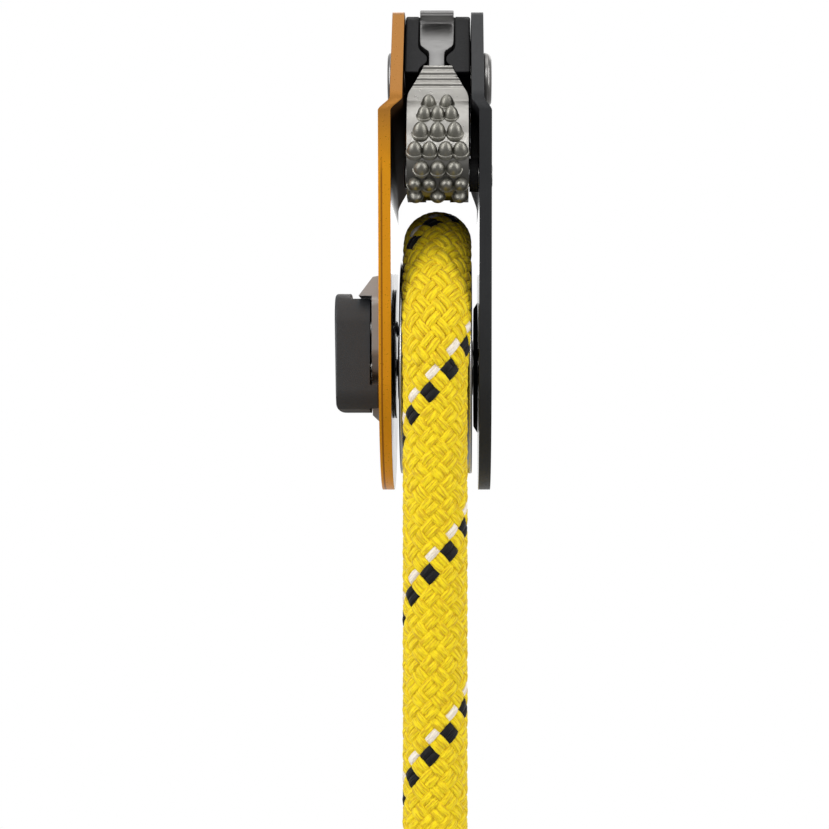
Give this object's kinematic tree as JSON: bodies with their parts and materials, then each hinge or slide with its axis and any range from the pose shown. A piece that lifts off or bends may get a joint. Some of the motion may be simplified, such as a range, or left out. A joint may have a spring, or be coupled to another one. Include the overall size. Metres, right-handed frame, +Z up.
{
  "type": "progress-capture pulley ascender",
  "caption": "Compact rope pulley with a toothed cam that locks the rope one way, a swinging side plate with a latch knob and an attachment eye, rigged on a rope.",
  "frame": {"origin": "centre of the attachment eye, from which the pulley hangs", "axes": "+X across the side plates towards the fixed plate, +Y from the toothed cam towards the back, +Z up from the sheave to the eye"},
  "size_m": [0.028, 0.0576, 0.1664],
  "materials": {
    "black_plate": "satin black anodised",
    "gold_plate": "satin gold anodised",
    "grey_block": "matt dark-grey anodised",
    "steel": "satin",
    "polished_steel": "tumbled and polished",
    "spring_steel": "drawn wire",
    "sheave_metal": "turned",
    "bronze": "sintered",
    "seal": "matt",
    "black_plastic": "finely textured moulding",
    "rope": "braided polyamide sheath, yellow with black and white tracers",
    "sleeve": "heat-shrunk"
  },
  "bodies": {
    "frame": {"fixed_side_plate": "black_plate", "spacer_block": "grey_block", "block_pin_front": "steel", "block_pin_rear": "steel", "swing_rivet": "steel", "sheave_axle": "steel", "axle_collar": "black_plate", "axle_boss": "black_plate", "axle_spacer_left": "steel", "axle_spacer_right": "steel", "bearing_inner_ring": "polished_steel", "cam_axle": "steel", "cam_axle_washer": "steel", "cam_spring": "spring_steel", "rope_over_sheave": "rope", "rope_front_strand": "rope", "rope_rear_strand": "rope", "rope_sleeve_front": "sleeve", "rope_sleeve_rear": "sleeve"},
    "sheave": {"sheave": "sheave_metal", "bearing_outer_ring": "polished_steel", "bearing_shield_left": "seal", "bearing_shield_right": "seal"},
    "bearing_cage": {"bearing_cage": "bronze", "bearing_ball_1": "polished_steel", "bearing_ball_2": "polished_steel", "bearing_ball_3": "polished_steel", "bearing_ball_4": "polished_steel", "bearing_ball_5": "polished_steel", "bearing_ball_6": "polished_steel", "bearing_ball_7": "polished_steel", "bearing_ball_8": "polished_steel"},
    "cam": {"cam": "polished_steel", "cam_bushing": "bronze", "cam_lever": "steel", "lever_pin": "steel"},
    "swing_plate": {"swing_side_plate": "gold_plate", "latch_base": "steel", "latch_backing_plate": "black_plate", "latch_rivet_front": "steel", "latch_rivet_rear": "steel"},
    "latch": {"latch_knob": "black_plastic", "latch_plunger": "steel", "latch_spring": "spring_steel"}
  },
  "joints": [
    {"name": "sheave_spin", "type": "hinge", "parent": "frame", "child": "sheave", "pos_m": [0, -0.008, -0.047], "axis": [1, 0, 0], "continuous": true},
    {"name": "cage_spin", "type": "hinge", "parent": "frame", "child": "bearing_cage", "pos_m": [0, -0.008, -0.047], "axis": [1, 0, 0], "continuous": true},
    {"name": "cam_pivot", "type": "hinge", "parent": "frame", "child": "cam", "pos_m": [0, -0.0245, -0.014], "axis": [1, 0, 0], "range_deg": [0, 57]},
    {"name": "plate_swing", "type": "hinge", "parent": "frame", "child": "swing_plate", "pos_m": [0, -0.017, 0.0036], "axis": [1, 0, 0], "range_deg": [0, 115]},
    {"name": "latch_pull", "type": "slide", "parent": "swing_plate", "child": "latch", "axis": [-1, 0, 0], "range_m": [0, 0.0009], "stiffness_N_per_m": 800}
  ],
  "couplings": [
    {"joint": "cage_spin", "follows": "sheave_spin", "ratio": 0.404}
  ]
}
